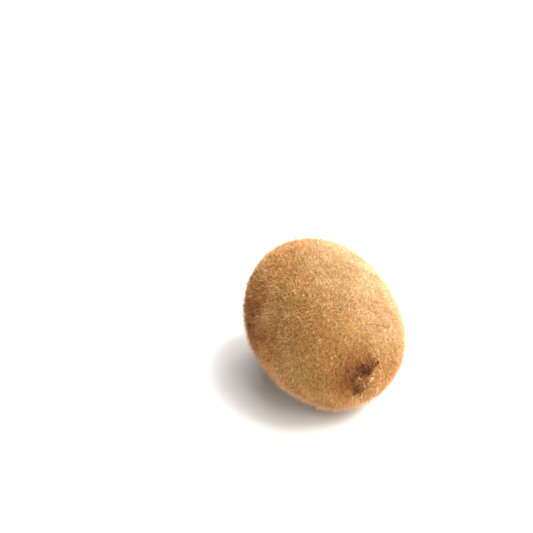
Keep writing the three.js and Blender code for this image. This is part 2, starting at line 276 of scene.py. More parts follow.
def mark_skin(mesh, tilt):
    """Stores where hairs grow and where the coat turns rusty or darker with painted shade, or paler with a
    painted highlight where the number is below zero.
    All sizes are in millimetres."""
    places = vertex_places(mesh)
    x = (places[:, 0] - MIDDLE.x) / MM
    radius = np.hypot(places[:, 1] - MIDDLE.y, places[:, 2] - MIDDLE.z) / MM
    along, across = ridge_places(places, tilt)

    # No hairs grow under the scar and the tuft.
    tuft = np.hypot(along / 5.4, across / 2.2)
    bare_stem = np.where(x < -25, smooth_step(5.4, 7.4, radius), 1)
    bare_tuft = np.where(x > 25, smooth_step(0.7, 1.25, tuft), 1)
    store(mesh, "coat", bare_stem * bare_tuft)

    # Rusty round the scar and to one side of the tuft, and painted shade, darker and rustier with a blotched
    # edge, on the side away from the lamps.
    stem_halo = np.where(x < -15, np.exp(-((np.maximum(radius - 6, 0) / 5.5) ** 2)), 0)
    shifted = np.hypot((along + 1.5) / 7.5, (across + 3.6) / 6.5)
    tuft_halo = np.where(x > 15, 0.8 * np.exp(-(shifted**2) * 1.1), 0)
    tuft_halo += np.where(x > 5, 0.22 * np.exp(-np.hypot((along - 9) / 9, (across + 6) / 9) ** 2), 0)
    from_middle = (places - np.array(MIDDLE)) / MM
    blotch = np.array([noise.noise(p / (6 * MM)) for p in map(Vector, places)])
    painted_shade = 0.7 * smooth_step(14.5, 24.5, from_middle @ np.array(SHADED_SIDE) + 5 * blotch)
    # Painted highlight: the coat is paler on the side facing the window.
    paler_region = 0.6 * smooth_step(11, 25, from_middle @ np.array(WINDOW_SIDE))
    store(mesh, "halo", np.maximum(np.maximum(stem_halo, tuft_halo), painted_shade) - paler_region)


def skin_material(coat):
    """Thin leathery skin: dull brown with olive patches, rusty round both ends, and darker with painted shade
    on the side away from the lamps.
    """
    material, tree = new_material("kiwi_skin")
    place = add(tree, "ShaderNodeTexCoord").outputs["Object"]
    patches = add(tree, NOISE, {"Vector": place, "Scale": 1 / (14 * MM), "Detail": 3.0})
    grain = add(tree, NOISE, {"Vector": place, "Scale": 1 / (0.9 * MM), "Detail": 4.0})
    halo = add(tree, "ShaderNodeAttribute", attribute_name="halo").outputs["Fac"]
    base = add(
        tree, RAMP, {"Fac": patches.outputs["Fac"]}, stops=[(0.3, coat.skin_brown), (0.7, coat.skin_olive)]
    )
    rusty = add(
        tree, MIX, {"Factor_Float": halo, "A_Color": base, "B_Color": coat.skin_rust}, data_type="RGBA"
    )
    speckle = add(
        tree, RAMP, {"Fac": grain.outputs["Fac"]}, stops=[(0.35, linear("9c9c9c")), (0.65, linear("ffffff"))]
    )
    colour = {"Factor_Float": 1.0, "A_Color": rusty, "B_Color": speckle}
    colour = add(tree, MIX, colour, data_type="RGBA", blend_type="MULTIPLY")
    finish(tree, colour, 0.62, 1.45, 0.2)
    return material


def hair_material(coat):
    """Dry hollow hairs: darker at the root, pale gold at the tip, rusty to dark brown near the ends, darker
    with painted shade on the side away from the lamps and paler with a painted highlight on the side facing
    the window.
    """
    material, tree = new_material("kiwi_hair")
    tone = add(tree, "ShaderNodeAttribute", attribute_name="tone").outputs["Fac"]
    strand = add(tree, "ShaderNodeAttribute", attribute_name="strand").outputs["Fac"]
    stops = [(0.05, coat.hair_dark), (0.33, coat.hair_rust), (0.62, coat.hair_gold), (0.95, coat.hair_straw)]
    tint = add(tree, RAMP, {"Fac": tone}, stops=stops)
    fade = add(tree, RAMP, {"Fac": strand}, stops=[(0.0, linear("d8c6b2")), (0.6, linear("ffffff"))])
    colour = {"Factor_Float": 1.0, "A_Color": tint, "B_Color": fade}
    colour = add(tree, MIX, colour, data_type="RGBA", blend_type="MULTIPLY")
    finish(tree, colour, 0.36, 1.5, 0.9)
    return material


HAIR_SIDES = 3
HAIR_BENDS = (0.08, 0.2, 0.36)  # how far the tip of each strand bends, as shares of its length
HAIR_SWELL = 1.2  # how much a strand widens towards its middle
HAIR_SPREAD = (0.65, 1.3)  # shortest and longest hair, as shares of the given length
HAIR_STRAY = 0.7  # how far chance turns the lean
HAIR_LUCK = 0.22  # how far chance shifts the tone
HALO_TONE = -0.42
BLOTCH_TONE = 0.06
BLOTCH_SIZE = 9 * MM
SWIRL_SIZE = 6 * MM
SWIRL_TURN = 1.1
AXIS_LEAN = 0.4
PRESSED_LEAN = 1.5
PRESSED_HEIGHTS = (0.4 * MM, 1.6 * MM)  # roots below the first are pressed flat, above the second free
BAKE_MARGIN = 0.03
BAKE_SPREAD = 0.4
HAIR_INPUTS = (
    ("Density", "Float"),
    ("Length", "Float"),
    ("Slenderness", "Float"),
    ("Steps", "Int"),
    ("Lowest Lean", "Float"),
    ("Highest Lean", "Float"),
    ("Tone", "Float"),
    ("Seed", "Int"),
    ("Material", "Material"),
)


def hair_tree():
    """Geometry nodes that grow hairs on a skin: scattered roots, a lean that changes from place to place,
    three bent strands to pick from, and a tone for each hair."""
    tree, given, result = new_tree("kiwi_hairs", HAIR_INPUTS)
    seed = {"Seed": given["Seed"]}

    coat = add(tree, NAMED, {"Name": "coat"}, data_type="FLOAT")
    density = add(tree, MATH, {"Value": coat, "Value_001": given["Density"]}, operation="MULTIPLY")
    roots = {"Mesh": given["Geometry"], "Density": density, **seed}
    roots = add(tree, "GeometryNodeDistributePointsOnFaces", roots, distribute_method="RANDOM")
    normal = roots.outputs["Normal"]
    place = add(tree, "GeometryNodeInputPosition")

    # The lean follows the long axis, turned by swirls a few millimetres wide and by chance.
    swirl = {"Vector": place, "Scale": 1 / SWIRL_SIZE, "Detail": 2.0}
    swirl = add(tree, NOISE, swirl, normalize=False).outputs["Color"]
    swirl_way = {"Vector": swirl, "Vector_001": (SWIRL_TURN,) * 3, "Vector_002": (AXIS_LEAN, 0.0, 0.0)}
    swirl_way = add(tree, VECTOR, swirl_way, operation="MULTIPLY_ADD")
    chance = add(
        tree, RANDOM, {"Min": (-HAIR_STRAY,) * 3, "Max": (HAIR_STRAY,) * 3, **seed}, data_type="FLOAT_VECTOR"
    )
    way = add(tree, VECTOR, {"Vector": swirl_way, "Vector_001": chance}, operation="ADD")
    side = add(tree, VECTOR, {"Vector": normal, "Vector_001": way}, operation="CROSS_PRODUCT")
    flat = add(tree, VECTOR, {"Vector": side, "Vector_001": normal}, operation="CROSS_PRODUCT")
    flat = add(tree, VECTOR, {"Vector": flat}, operation="NORMALIZE")
    lean = {"Min_001": given["Lowest Lean"], "Max_001": given["Highest Lean"], **seed}
    lean = add(tree, RANDOM, lean, data_type="FLOAT")
    # Close to the floor the hairs are pressed flat along the skin, and only the straightest strand is used.
    height = add(tree, "ShaderNodeSeparateXYZ", {"Vector": place}).outputs["Z"]
    pressing = {"Value": height, "From Min": PRESSED_HEIGHTS[0], "From Max": PRESSED_HEIGHTS[1]}
    free = add(tree, RANGE, pressing)
    pressed = add(tree, RANGE, {"Value": free, "To Min": PRESSED_LEAN, "To Max": 0.0})
    lean = add(tree, MATH, {"Value": lean, "Value_001": pressed}, operation="MAXIMUM")
    upright = add(tree, MATH, {"Value": lean}, operation="COSINE")
    lying = add(tree, MATH, {"Value": lean}, operation="SINE")
    rise = add(tree, VECTOR, {"Vector": normal, "Scale": upright}, operation="SCALE")
    reach = add(tree, VECTOR, {"Vector": flat, "Scale": lying}, operation="SCALE")
    growth = add(tree, VECTOR, {"Vector": rise, "Vector_001": reach}, operation="ADD")

    spread = {"Min_001": HAIR_SPREAD[0], "Max_001": HAIR_SPREAD[1], **seed}
    spread = add(tree, RANDOM, spread, data_type="FLOAT")
    length = add(tree, MATH, {"Value": spread, "Value_001": given["Length"]}, operation="MULTIPLY")

    # The given tone on average, shifted by blotches and by chance, darker inside the halos and the painted
    # shade, and paler under the painted highlight.
    halo = add(tree, NAMED, {"Name": "halo"}, data_type="FLOAT")
    blotch = {"Vector": place, "Scale": 1 / BLOTCH_SIZE, "Detail": 2.0}
    blotch = add(tree, NOISE, blotch, normalize=False).outputs["Fac"]
    luck = add(tree, RANDOM, {"Min_001": -HAIR_LUCK, "Max_001": HAIR_LUCK, **seed}, data_type="FLOAT")
    tone = {"Value": blotch, "Value_001": BLOTCH_TONE, "Value_002": given["Tone"]}
    tone = add(tree, MATH, tone, operation="MULTIPLY_ADD")
    tone = add(tree, MATH, {"Value": tone, "Value_001": luck}, operation="ADD")
    tone = {"Value": halo, "Value_001": HALO_TONE, "Value_002": tone}
    tone = add(tree, MATH, tone, operation="MULTIPLY_ADD", use_clamp=True)
    toned = {"Geometry": roots.outputs["Points"], "Name": "tone", "Value": tone}
    toned = add(tree, STORE, toned, data_type="FLOAT", domain="POINT")

    # A hair whose bent tip would pass through the floor is left out.
    tip = add(
        tree, VECTOR, {"Vector": growth, "Vector_001": length, "Vector_002": place}, operation="MULTIPLY_ADD"
    )
    tip_height = add(tree, "ShaderNodeSeparateXYZ", {"Vector": tip}).outputs["Z"]
    # Strands are numbered from the last one joined, so the highest number is the straightest.
    straightest = len(HAIR_BENDS) - 1
    pick = add(tree, RANDOM, {"Min_002": 0, "Max_002": straightest, **seed}, data_type="INT")
    low = add(tree, "FunctionNodeCompare", {"A": free, "B": 1.0}, data_type="FLOAT", operation="LESS_THAN")
    forced = add(tree, MATH, {"Value": low, "Value_001": straightest}, operation="MULTIPLY")
    pick = add(tree, MATH, {"Value": pick, "Value_001": forced}, operation="MAXIMUM")
    bend = {"Value": pick, "From Min": straightest - 1, "From Max": straightest}
    bend = add(tree, RANGE, {**bend, "To Min": max(HAIR_BENDS), "To Max": min(HAIR_BENDS)})
    swing = add(tree, MATH, {"Value": length, "Value_001": bend}, operation="MULTIPLY")
    buried = add(
        tree, "FunctionNodeCompare", {"A": tip_height, "B": swing}, data_type="FLOAT", operation="LESS_THAN"
    )
    kept = add(tree, "GeometryNodeDeleteGeometry", {"Geometry": toned, "Selection": buried}, domain="POINT")

    strands = add(tree, "GeometryNodeJoinGeometry")
    for bend in HAIR_BENDS:
        cone = add(
            tree,
            "GeometryNodeMeshCone",
            {
                "Vertices": HAIR_SIDES,
                "Side Segments": given["Steps"],
                "Fill Segments": 1,
                "Radius Top": 0.0,
                "Radius Bottom": given["Slenderness"],
                "Depth": 1.0,
            },
            fill_type="NGON",
        )
        spot = add(tree, "GeometryNodeInputPosition")
        parts = add(tree, "ShaderNodeSeparateXYZ", {"Vector": spot}).outputs
        graded = {"Geometry": cone.outputs["Mesh"], "Name": "strand", "Value": parts["Z"]}
        graded = add(tree, STORE, graded, data_type="FLOAT", domain="POINT")
        turned = {"Geometry": graded, "Name": "side", "Value": spot}
        turned = add(tree, STORE, turned, data_type="FLOAT_VECTOR", domain="POINT")
        plump = add(tree, MATH, {"Value": parts["Z"], "Value_001": 0.5}, operation="PINGPONG")
        wider = {"Vector": spot, "Vector_001": (HAIR_SWELL, HAIR_SWELL, 0.0)}
        wider = add(tree, VECTOR, wider, operation="MULTIPLY")
        wider = add(tree, VECTOR, {"Vector": wider, "Scale": plump}, operation="SCALE")
        curve = add(tree, MATH, {"Value": parts["Z"], "Value_001": 2.0}, operation="POWER")
        drift = add(tree, MATH, {"Value": curve, "Value_001": bend}, operation="MULTIPLY")
        offset = add(tree, "ShaderNodeCombineXYZ", {"X": drift})
        offset = add(tree, VECTOR, {"Vector": offset, "Vector_001": wider}, operation="ADD")
        bent = add(tree, "GeometryNodeSetPosition", {"Geometry": turned, "Offset": offset})
        strand = add(tree, "GeometryNodeGeometryToInstance", {"Geometry": bent})
        tree.links.new(strand.outputs[0], strands.inputs[0])

    twist = add(tree, RANDOM, {"Min_001": 0.0, "Max_001": math.tau, **seed}, data_type="FLOAT")
    spin = add(tree, "FunctionNodeAxisAngleToRotation", {"Axis": (0.0, 0.0, 1.0), "Angle": twist})
    aligned = add(tree, "FunctionNodeAlignRotationToVector", {"Vector": growth}, axis="Z")
    turned = add(
        tree, "FunctionNodeRotateRotation", {"Rotation": aligned, "Rotate By": spin}, rotation_space="LOCAL"
    )
    grown = add(
        tree,
        "GeometryNodeInstanceOnPoints",
        {
            "Points": kept,
            "Instance": strands,
            "Pick Instance": True,
            "Instance Index": pick,
            "Rotation": turned,
            "Scale": length,
        },
    )
    real = add(tree, "GeometryNodeRealizeInstances", {"Geometry": grown})

    # The bake's map: tone across, root to tip upwards, and the strand's own section as a little spread.
    tone_kept = add(tree, NAMED, {"Name": "tone"}, data_type="FLOAT")
    strand_kept = add(tree, NAMED, {"Name": "strand"}, data_type="FLOAT")
    side_kept = add(tree, NAMED, {"Name": "side"}, data_type="FLOAT_VECTOR")
    main = add(tree, "ShaderNodeCombineXYZ", {"X": tone_kept, "Y": strand_kept})
    inner = 1 - 2 * BAKE_MARGIN
    inset = (BAKE_MARGIN, BAKE_MARGIN, 0.0)
    main = {"Vector": main, "Vector_001": (inner, inner, 0.0), "Vector_002": inset}
    main = add(tree, VECTOR, main, operation="MULTIPLY_ADD")
    spot = {"Vector": side_kept, "Vector_001": (BAKE_SPREAD, BAKE_SPREAD, 0.0), "Vector_002": main}
    spot = add(tree, VECTOR, spot, operation="MULTIPLY_ADD")
    mapped = add(
        tree, STORE, {"Geometry": real, "Name": "OFBake", "Value": spot}, data_type="FLOAT2", domain="CORNER"
    )
    dressed = add(tree, "GeometryNodeSetMaterial", {"Geometry": mapped, "Material": given["Material"]})
    add(tree, "NodeGroupOutput", {result: dressed})
    return tree


CLEARANCE = 0.35  # millimetres between the skin and what sits on it


def seeded_draw(seed):
    """Random draws between two values, in the order in which the solids draw theirs."""
    state = seed

    def draw(low, high):
        nonlocal state
        state = (state * 1664525 + 1013904223) % 4294967296
        return low + (high - low) * state / 4294967296

    return draw


def ripple(waves, turn):
    """Sum of the waves that make an edge ragged, each with its height, lobes and phase."""
    return sum(height * math.sin(lobes * turn + phase) for height, lobes, phase in waves)


def rough(*place):
    """Even noise between -1 and 1 at a place of up to three numbers."""
    return noise.noise(Vector((*place, 0.37, 0.61)[:3]))


def skin_finder():
    """A function that gives the point a lift off the skin, at the stem end (-1) or the blossom end (1).
    Places and lifts are in millimetres."""
    mesh = bpy.data.objects["skin"].data
    skin = BVHTree.FromPolygons([v.co for v in mesh.vertices], [f.vertices[:] for f in mesh.polygons])
    step = 0.5

    def depth(side, y, z):
        start = Vector((side * 60, y, z)) * MM + Vector((0, MIDDLE.y, MIDDLE.z))
        return skin.ray_cast(start, Vector((-side, 0, 0)))[0].x

    def above(side, y, z, lift):
        slope_y = (depth(side, y + step, z) - depth(side, y - step, z)) / (2 * step * MM)
        slope_z = (depth(side, y, z + step) - depth(side, y, z - step)) / (2 * step * MM)
        out = Vector((1, -slope_y, -slope_z)).normalized() * side
        foot = Vector((depth(side, y, z), y * MM + MIDDLE.y, z * MM + MIDDLE.z))
        return foot + out * (lift * MM)

    return above


def ring_faces(rows, sides):
    """Faces of a closed skin over rows of rings, with a point before the first and one after the last."""
    last = 1 + rows * sides
    faces = []
    for s in range(sides):
        t = (s + 1) % sides
        faces.append((0, 1 + t, 1 + s))
        for r in range(rows - 1):
            low = 1 + r * sides
            high = low + sides
            faces.append((low + s, low + t, high + t, high + s))
        low = 1 + (rows - 1) * sides
        faces.append((last, low + s, low + t))
    return faces


def end_mesh(name, points, faces, worn, haired):
    """A mesh with two numbers per point, for how worn and pale it is and how many hairs it bears."""
    mesh = bpy.data.meshes.new(name)
    mesh.from_pydata(points, [], faces)
    made = bmesh.new()
    made.from_mesh(mesh)
    bmesh.ops.recalc_face_normals(made, faces=made.faces)
    made.to_mesh(mesh)
    made.free()
    store(mesh, "worn", np.array(worn))
    store(mesh, "coat", np.array(haired, np.float32))
    store(mesh, "halo", 1.2 - np.array(worn))
    return mesh


def worn_material(name, stops, grain, roughness):
    """Dry plant matter whose colour runs from the dark of its gaps to the pale of its worn edges; on the stem
    scar the lip is also paler on one side with a painted highlight.
    """
    material, tree = new_material(name)
    place = add(tree, "ShaderNodeTexCoord").outputs["Object"]
    worn = add(tree, "ShaderNodeAttribute", attribute_name="worn").outputs["Fac"]
    speck = add(tree, NOISE, {"Vector": place, "Scale": 1 / (grain * MM), "Detail": 5.0})
    swing = {"Value": speck.outputs["Fac"], "Value_001": 0.7, "Value_002": -0.35}
    swing = add(tree, MATH, swing, operation="MULTIPLY_ADD")
    factor = add(tree, MATH, {"Value": worn, "Value_001": swing}, operation="ADD", use_clamp=True)
    finish(tree, add(tree, RAMP, {"Fac": factor}, stops=stops), roughness, 1.45, 0.2)
    return material


SCAR_RADIUS = 5
SCAR_WAVES = ((0.05, 3, 1), (0.04, 7, 0))
SCAR_FOOT = 0.8
SCAR_PIT = (0.9, 0.6)
SCAR_LIT_SIDE = 3.6
SCAR_RINGS = 30
SCAR_SIDES = 144


def scar_mesh(above):
    """A cupped disc of fibres with a torn lip, paler on one side with a painted highlight, and a dark pit."""
    shares = [(i + 1) / SCAR_RINGS for i in range(SCAR_RINGS)]
    turns = [-math.tau * i / SCAR_SIDES for i in range(SCAR_SIDES)]

    def across(share, turn, reach):
        torn = 1 + ripple(SCAR_WAVES, turn) + 0.06 * rough(7 * math.sin(turn), 7 * math.cos(turn))
        lip = SCAR_RADIUS * torn * reach
        y = SCAR_PIT[0] + share * (lip * math.sin(turn) - SCAR_PIT[0])
        return y, SCAR_PIT[1] + share * (lip * math.cos(turn) - SCAR_PIT[1])

    def top(share, turn):
        bundle = math.sin(13 * turn)
        fibre = rough(9 * math.sin(turn), 9 * math.cos(turn), 4 * share)
        swirl = share + 0.1 * math.sin(turn + 0.6) + 0.05 * math.sin(3 * turn)
        ring = rough(21 * swirl, 1.1 * math.sin(turn), 1.1 * math.cos(turn))
        crest = rough(6 * math.sin(turn), 6 * math.cos(turn))
        crest += 0.5 * rough(15 * math.sin(turn), 15 * math.cos(turn))
        lift = 0.7 + 1.1 * share**3 + share * (0.05 * bundle + 0.1 * fibre) + 0.16 * ring
        lift += 0.6 * crest * share**6
        pit = math.exp(-((share / (0.18 + 0.05 * math.sin(2 * turn + 1))) ** 4))
        # Painted highlight: the lip is paler on one side.
        lit = 0.5 + 0.5 * math.cos(turn - SCAR_LIT_SIDE)
        worn = 0.36 + 0.16 * fibre + 0.3 * ring + (0.7 * lit + 0.4 * crest) * share**12 - 0.8 * pit
        return max(lift - 0.7 * pit, 0.1), worn

    points = [above(-1, *SCAR_PIT, CLEARANCE + 0.12)]
    worn = [0.0]
    for share in shares:
        for turn in turns:
            lift, pale = top(share, turn)
            points.append(above(-1, *across(share, turn, 1), CLEARANCE + lift))
            worn.append(pale)
    for share in reversed(shares):
        for turn in turns:
            points.append(above(-1, *across(share, turn, SCAR_FOOT), CLEARANCE))
            worn.append(0.3)
    points.append(above(-1, *SCAR_PIT, CLEARANCE))
    worn.append(0.0)
    faces = ring_faces(2 * SCAR_RINGS, SCAR_SIDES)
    return end_mesh("stem_scar_cork", points, faces, worn, [0] * len(points))


SEPAL_COUNT = 8
SEPAL_SEED = 5
SEPAL_ROOT = 6.5
SEPAL_STEPS = 26
SEPAL_STRIPS = 22
SEPAL_THICKNESS = 0.26
COLLAR_WAVES = ((0.25, 5, 0.4), (0.2, 11, 0))
COLLAR_SIDES = 160
COLLAR_SECTION = 14


def sepal_blade(above, turn, length, width, rise, phase):
    """Grids of the two faces of one dried blade, with how worn each place is."""
    grids = ([], [])
    worn = []
    for i in range(SEPAL_STEPS + 1):
        along = i / SEPAL_STEPS
        half_width = width / 2 * (1 - 0.35 * along**2.2)
        for j in range(SEPAL_STRIPS + 1):
            side = 2 * j / SEPAL_STRIPS - 1
            torn = 1 - 0.4 * abs(side) ** 2.5 + 0.24 * math.sin(5 * side + phase)
            torn += 0.3 * rough(6 * side, phase) * along + 0.15 * rough(15 * side, phase) * along
            frayed = 1 + 0.16 * rough(6 * along, phase, side)
            radius = SEPAL_ROOT + length * along * torn
            angle = turn + side * half_width * frayed / radius
            wave = 0.3 * along * (1 + math.sin(4 * along + 3 * side + phase))
            curl = rise * along**2 + 0.3 * along * side**2 + 0.2 * along * abs(side) ** 5
            vein = max(0, math.cos(7 * side)) ** 4
            crumple = 0.22 * rough(3 * along, 2.2 * side, phase) * along
            lift = CLEARANCE + 0.35 + wave + curl + crumple + 0.1 * vein
            thin = SEPAL_THICKNESS * (1 - 0.6 * max(along, abs(side)) ** 4)
            y, z = radius * math.sin(angle), radius * math.cos(angle)
            grids[0].append(above(-1, y, z, lift - thin / 2))
            grids[1].append(above(-1, y, z, lift + thin / 2))
            edge = max(along, abs(side)) ** 5
            worn.append(0.2 + 0.3 * edge + 0.12 * vein * along + 0.35 * rough(4 * along, 3 * side, phase))
    return grids, worn


def slab_faces(rows, columns, first):
    """Faces of a closed plate between two like grids of points."""
    half = rows * columns
    faces = []
    for r in range(rows - 1):
        for c in range(columns - 1):
            a = first + r * columns + c
            corners = (a, a + 1, a + columns + 1, a + columns)
            faces.append(corners)
            faces.append(tuple(half + k for k in reversed(corners)))
    edge = [first + c for c in range(columns)]
    edge += [first + r * columns + columns - 1 for r in range(1, rows)]
    edge += [first + (rows - 1) * columns + c for c in range(columns - 2, -1, -1)]
    edge += [first + r * columns for r in range(rows - 2, 0, -1)]
    for here, there in zip(edge, edge[1:] + edge[:1]):
        faces.append((there, here, half + here, half + there))
    return faces


def sepal_mesh(above):
    """Dried flakes on a crumbled collar."""
    draw = seeded_draw(SEPAL_SEED)
    points, faces, worn = [], [], []
    for i in range(SEPAL_COUNT):
        turn = math.tau * (i + draw(-0.3, 0.3)) / SEPAL_COUNT
        length, width = draw(0.6, 2.8), draw(3.8, 6.6)
        rise, phase = draw(0.2, 1.5), draw(0, math.tau)
        grids, pale = sepal_blade(above, turn, length, width, rise, phase)
        faces += slab_faces(SEPAL_STEPS + 1, SEPAL_STRIPS + 1, len(points))
        points += grids[0] + grids[1]
        worn += pale + pale
    first = len(points)
    for i in range(COLLAR_SIDES):
        turn = math.tau * i / COLLAR_SIDES
        ragged = ripple(COLLAR_WAVES, turn)
        for k in range(COLLAR_SECTION):
            spin = math.tau * k / COLLAR_SECTION
            crumb = rough(12 * math.sin(turn), 12 * math.cos(turn), 1.5 * math.sin(spin)) * 0.4
            radius = 6.6 + ragged / 2 + (0.95 + ragged / 2 + crumb) * math.cos(spin)
            lift = CLEARANCE + (0.55 + 0.3 * ragged + crumb) * (1 + math.sin(spin))
            points.append(above(-1, radius * math.sin(turn), radius * math.cos(turn), lift))
            worn.append(0.25 + 0.9 * crumb)
            k_next = (k + 1) % COLLAR_SECTION
            i_next = (i + 1) % COLLAR_SIDES
            a, b = first + i * COLLAR_SECTION + k, first + i * COLLAR_SECTION + k_next
            c, d = first + i_next * COLLAR_SECTION + k_next, first + i_next * COLLAR_SECTION + k
            faces.append((a, b, c, d))
    return end_mesh("dried_sepals", points, faces, worn, [1] * len(points))


STYLE_COUNT = 28
STYLE_SEED = 12
CRUST_HALF_LENGTH = 6.2
CRUST_HALF_WIDTH = 2.6
CRUST_WAVES = ((0.1, 4, 0.5), (0.07, 9, 0))
CRUST_RINGS = 18
CRUST_SIDES = 110


def on_ridge(above, tilt, along, across, lift):
    """A place on the blossom end, from its distance along and across the tilted ridge."""
    y = RIDGE_CENTRE[0] + along * math.sin(tilt) + across * math.cos(tilt)
    z = RIDGE_CENTRE[1] + along * math.cos(tilt) - across * math.sin(tilt)
    return above(1, y, z, lift)


def crust_mesh(above, tilt):
    """The withered base of the flower: a thin lumpy crust with a matted clot and a pale bare flap."""
    points = [on_ridge(above, tilt, 0, 0, CLEARANCE + 0.9)]
    worn, haired = [0.4], [1]
    shares = [(i + 1) / CRUST_RINGS for i in range(CRUST_RINGS)]
    turns = [math.tau * i / CRUST_SIDES for i in range(CRUST_SIDES)]

    def place(share, turn):
        edge = 1 + ripple(CRUST_WAVES, turn) + 0.12 * rough(5 * math.sin(turn), 5 * math.cos(turn))
        along = CRUST_HALF_LENGTH * share * edge * math.cos(turn)
        return along, CRUST_HALF_WIDTH * share * edge * math.sin(turn)

    for share in shares:
        for turn in turns:
            along, across = place(share, turn)
            lump = 0.45 * rough(0.8 * along, 0.8 * across) + 0.25 * rough(2.2 * along, 2.2 * across)
            clot = math.exp(-(((along - 2.2) / 1.7) ** 4) - ((across + 0.9) / 2.3) ** 4)
            flap = math.exp(-(((along + 0.4) / 2.0) ** 4) - ((across - 2.4) / 0.6) ** 4)
            lift = CLEARANCE + 0.15 + max(0.1, 0.6 - 0.35 * share + lump) + 0.4 * clot + 0.5 * flap
            points.append(on_ridge(above, tilt, along, across, lift))
            ends = 0.05 * smooth_step(3.4, 5, along) - 0.3 * smooth_step(3.2, 5, -along)
            paler_region = 0.45 * smooth_step(0.3, 1.6, across) * smooth_step(1.5, 3, -along)
            worn.append(0.46 - 0.52 * clot + 0.36 * flap + paler_region + ends + 0.4 * lump)
            haired.append(1 - flap)
    for share in reversed(shares):
        for turn in turns:
            points.append(on_ridge(above, tilt, *place(share, turn), CLEARANCE - 0.25))
            worn.append(0.2)
    points.append(on_ridge(above, tilt, 0, 0, CLEARANCE - 0.25))
    worn.append(0.2)
    haired += [0] * (len(points) - len(haired))
    return end_mesh("style_crust", points, ring_faces(2 * CRUST_RINGS, CRUST_SIDES), worn, haired)


# Where tips of styles stay thick and dark, along and across the tuft, and how far that reaches.
DARK_TIPS = ((2.0, -0.8, 2.2), (5.0, 1.7, 0.8), (-6.8, -0.5, 1.5))


def style_paths(above, tilt):
    """Curves of the dried styles, each from its root in the crust over a knee to its tip."""
    draw = seeded_draw(STYLE_SEED)
    curves = bpy.data.curves.new("style_paths", "CURVE")
    curves.dimensions = "3D"
    for i in range(STYLE_COUNT):
        place = 2 * (i + 0.5) / STYLE_COUNT - 1
        reach = draw(1.6, 3.8)
        along = 0.8 * CRUST_HALF_LENGTH * place
        across = 0.7 * CRUST_HALF_WIDTH * math.sqrt(1 - place * place) * draw(-1, 1)
        lean_along = reach * (0.8 * place + draw(-0.3, 0.3))
        lean_across = reach * draw(-0.5, 0.5)
        rise = draw(0.3, 1.5)
        root = CLEARANCE + 0.3
        knots = [
            on_ridge(above, tilt, along, across, root),
            on_ridge(above, tilt, along + 0.35 * lean_along, across + 0.35 * lean_across, root + 0.8 * rise),
            on_ridge(above, tilt, along + lean_along, across + lean_across, root + rise),
        ]
        tip = (along + lean_along, across + lean_across)
        dark = max(math.exp(-((math.dist(tip, spot) / wide) ** 2)) for *spot, wide in DARK_TIPS)
        spline = curves.splines.new("BEZIER")
        spline.bezier_points.add(len(knots) - 1)
        for point, knot in zip(spline.bezier_points, knots):
            point.co = knot
            point.radius = 0.5 + 0.5 * dark
            point.handle_left_type = point.handle_right_type = "AUTO"
    return curves


THREAD_STEPS = 16
THREAD_SIDES = 7
THREAD_TAPER = 0.45  # thickness at the tip, as a share of that at the root
KINK_SIZE = 0.9 * MM
THREAD_INPUTS = (
    ("Radius", "Float"),
    ("Tip Radius", "Float"),
    ("Kink", "Float"),
    ("Seed", "Int"),
    ("Material", "Material"),
)


def thread_tree():
    """Geometry nodes that make threads along paths: kinked, thinner towards a swollen tip."""
    tree, given, result = new_tree("kiwi_threads", THREAD_INPUTS)
    evened = {"Curve": given["Geometry"], "Count": THREAD_STEPS}
    evened = add(tree, "GeometryNodeResampleCurve", evened, mode="COUNT")
    factor = add(tree, "GeometryNodeSplineParameter").outputs["Factor"]
    place = add(tree, "GeometryNodeInputPosition")
    kinks = add(tree, NOISE, {"Vector": place, "Scale": 1 / KINK_SIZE, "Detail": 2.0}, normalize=False)
    swing = add(tree, MATH, {"Value": factor, "Value_001": given["Kink"]}, operation="MULTIPLY")
    offset = add(tree, VECTOR, {"Vector": kinks.outputs["Color"], "Scale": swing}, operation="SCALE")
    kinked = add(tree, "GeometryNodeSetPosition", {"Geometry": evened, "Offset": offset})

    # The thinnest threads are the palest.
    thickness = add(tree, "GeometryNodeInputRadius")
    paler = add(
        tree, RANGE, {"Value": thickness, "From Min": 0.5, "From Max": 1.0, "To Min": 0.38, "To Max": 0.02}
    )
    shaded = add(
        tree, STORE, {"Geometry": kinked, "Name": "worn", "Value": paler}, data_type="FLOAT", domain="POINT"
    )
    taper = add(tree, RANGE, {"Value": factor, "To Min": 1.0, "To Max": THREAD_TAPER})
    girth = add(tree, MATH, {"Value": taper, "Value_001": thickness}, operation="MULTIPLY")
    ring = {"Resolution": THREAD_SIDES, "Radius": given["Radius"]}
    ring = add(tree, "GeometryNodeCurvePrimitiveCircle", ring)
    tube = {"Curve": shaded, "Profile Curve": ring, "Scale": girth, "Fill Caps": True}
    tube = add(tree, "GeometryNodeCurveToMesh", tube)
    ends = add(tree, "GeometryNodeCurveEndpointSelection", {"Start Size": 0, "End Size": 1})
    bead = add(tree, "GeometryNodeMeshIcoSphere", {"Radius": given["Tip Radius"], "Subdivisions": 2})
    swell = {"Min": (0.5, 0.5, 0.5), "Max": (1.2, 1.2, 1.2), "Seed": given["Seed"]}
    swell = add(tree, RANDOM, swell, data_type="FLOAT_VECTOR")
    swell = add(tree, VECTOR, {"Vector": swell, "Scale": thickness}, operation="SCALE")
    beads = {"Points": shaded, "Selection": ends, "Instance": bead.outputs["Mesh"], "Scale": swell}
    beads = add(tree, "GeometryNodeInstanceOnPoints", beads)
    joined = add(tree, "GeometryNodeJoinGeometry", {"Geometry": tube})
    tree.links.new(beads.outputs[0], joined.inputs[0])
    real = add(tree, "GeometryNodeRealizeInstances", {"Geometry": joined})
    dressed = add(tree, "GeometryNodeSetMaterial", {"Geometry": real, "Material": given["Material"]})
    add(tree, "NodeGroupOutput", {result: dressed})
    return tree


SKIN_LEVELS = 2
LUMP_HEIGHT = 0.05
FLAT_HEIGHT = 0.3  # below this the underside stays smooth, so that it lies on the floor


